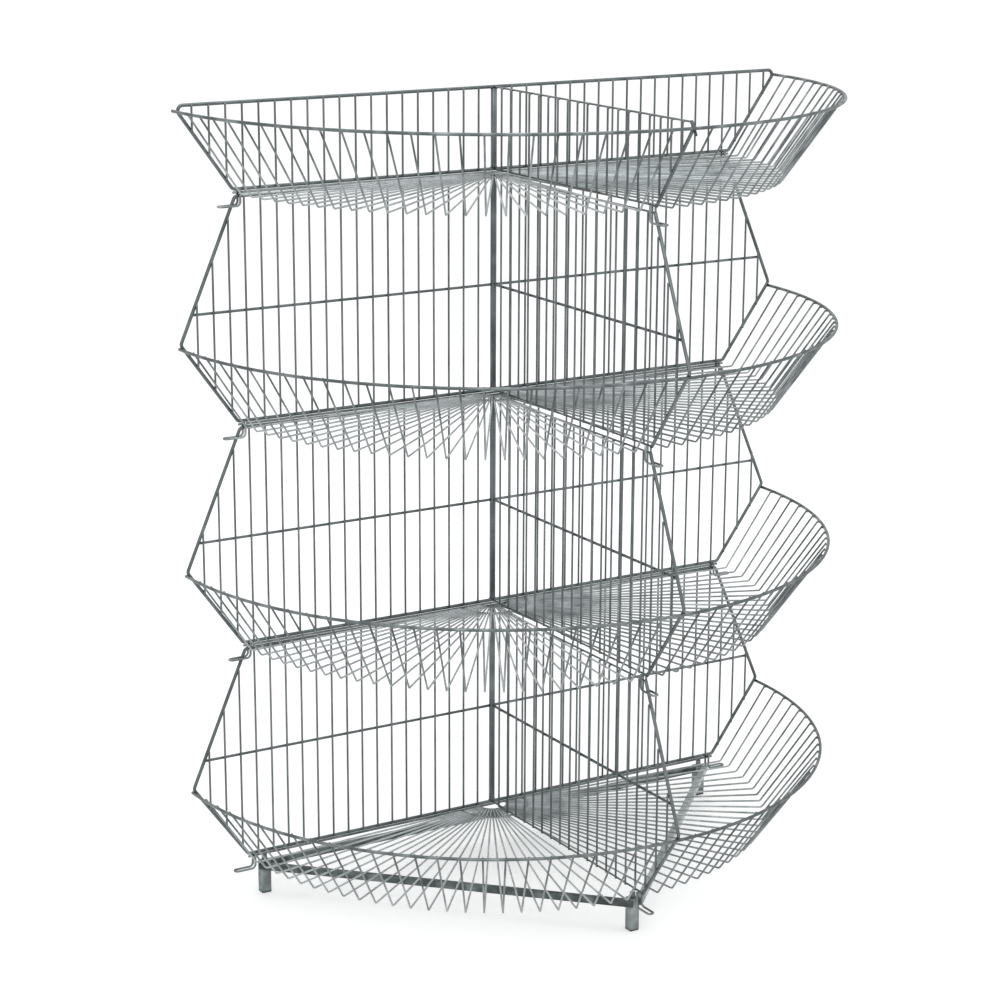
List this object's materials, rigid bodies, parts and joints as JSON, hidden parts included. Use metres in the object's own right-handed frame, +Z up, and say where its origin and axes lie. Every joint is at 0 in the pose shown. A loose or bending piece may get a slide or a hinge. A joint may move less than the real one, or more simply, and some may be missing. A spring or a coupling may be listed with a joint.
{
  "type": "retail dump bin",
  "caption": "Half-round wire dump bin: stacked tiers of quarter-round baskets with a flat back and a middle divider, on a low square-tube base.",
  "frame": {"origin": "on the floor, in the middle of the object's box", "axes": "+Z up, +Y towards the flat back, -Y towards the round front, +X to the right when seen from the front"},
  "size_m": [1.0052, 0.51, 1.1597],
  "materials": {
    "frame_wire": "bright zinc-plated steel rod",
    "fill_wire": "bright zinc-plated steel wire",
    "base_tube": "zinc-plated square steel tube",
    "foot_plastic": "moulded grey plastic"
  },
  "bodies": {
    "base": {"leg_left": "base_tube", "foot_plug_left": "foot_plastic", "support_stud_left": "base_tube", "leg_front": "base_tube", "foot_plug_front": "foot_plastic", "support_stud_front": "base_tube", "leg_right": "base_tube", "foot_plug_right": "foot_plastic", "support_stud_right": "base_tube", "base_back_bar": "base_tube", "base_left_bar": "base_tube", "base_right_bar": "base_tube"},
    "tier1": {"tier1_back_panel": "frame_wire", "tier1_divider_panel": "frame_wire", "tier1_centre_post": "frame_wire", "tier1_mid_rail_left": "frame_wire", "tier1_mid_rail_right": "frame_wire", "tier1_mid_rail_divider": "frame_wire", "tier1_floor": "fill_wire", "tier1_front_left": "fill_wire", "tier1_front_right": "fill_wire", "tier1_loop_left": "fill_wire", "tier1_loop_front": "fill_wire", "tier1_loop_right": "fill_wire"},
    "tier2": {"tier2_back_panel": "frame_wire", "tier2_divider_panel": "frame_wire", "tier2_centre_post": "frame_wire", "tier2_mid_rail_left": "frame_wire", "tier2_mid_rail_right": "frame_wire", "tier2_mid_rail_divider": "frame_wire", "tier2_floor": "fill_wire", "tier2_front_left": "fill_wire", "tier2_front_right": "fill_wire", "tier2_loop_left": "fill_wire", "tier2_loop_front": "fill_wire", "tier2_loop_right": "fill_wire"},
    "tier3": {"tier3_back_panel": "frame_wire", "tier3_divider_panel": "frame_wire", "tier3_centre_post": "frame_wire", "tier3_mid_rail_left": "frame_wire", "tier3_mid_rail_right": "frame_wire", "tier3_mid_rail_divider": "frame_wire", "tier3_floor": "fill_wire", "tier3_front_left": "fill_wire", "tier3_front_right": "fill_wire", "tier3_loop_left": "fill_wire", "tier3_loop_front": "fill_wire", "tier3_loop_right": "fill_wire"},
    "tier4": {"tier4_back_panel": "frame_wire", "tier4_divider_panel": "frame_wire", "tier4_centre_post": "frame_wire", "tier4_floor": "fill_wire", "tier4_front_left": "fill_wire", "tier4_front_right": "fill_wire", "tier4_loop_left": "fill_wire", "tier4_loop_front": "fill_wire", "tier4_loop_right": "fill_wire"}
  },
  "joints": [
    {"name": "lift_tier1", "type": "slide", "parent": "base", "child": "tier1", "axis": [0, 0, 1], "range_m": [0, 0.06]},
    {"name": "lift_tier2", "type": "slide", "parent": "tier1", "child": "tier2", "axis": [0, 0, 1], "range_m": [0, 0.06]},
    {"name": "lift_tier3", "type": "slide", "parent": "tier2", "child": "tier3", "axis": [0, 0, 1], "range_m": [0, 0.06]},
    {"name": "lift_tier4", "type": "slide", "parent": "tier3", "child": "tier4", "axis": [0, 0, 1], "range_m": [0, 0.06]}
  ]
}
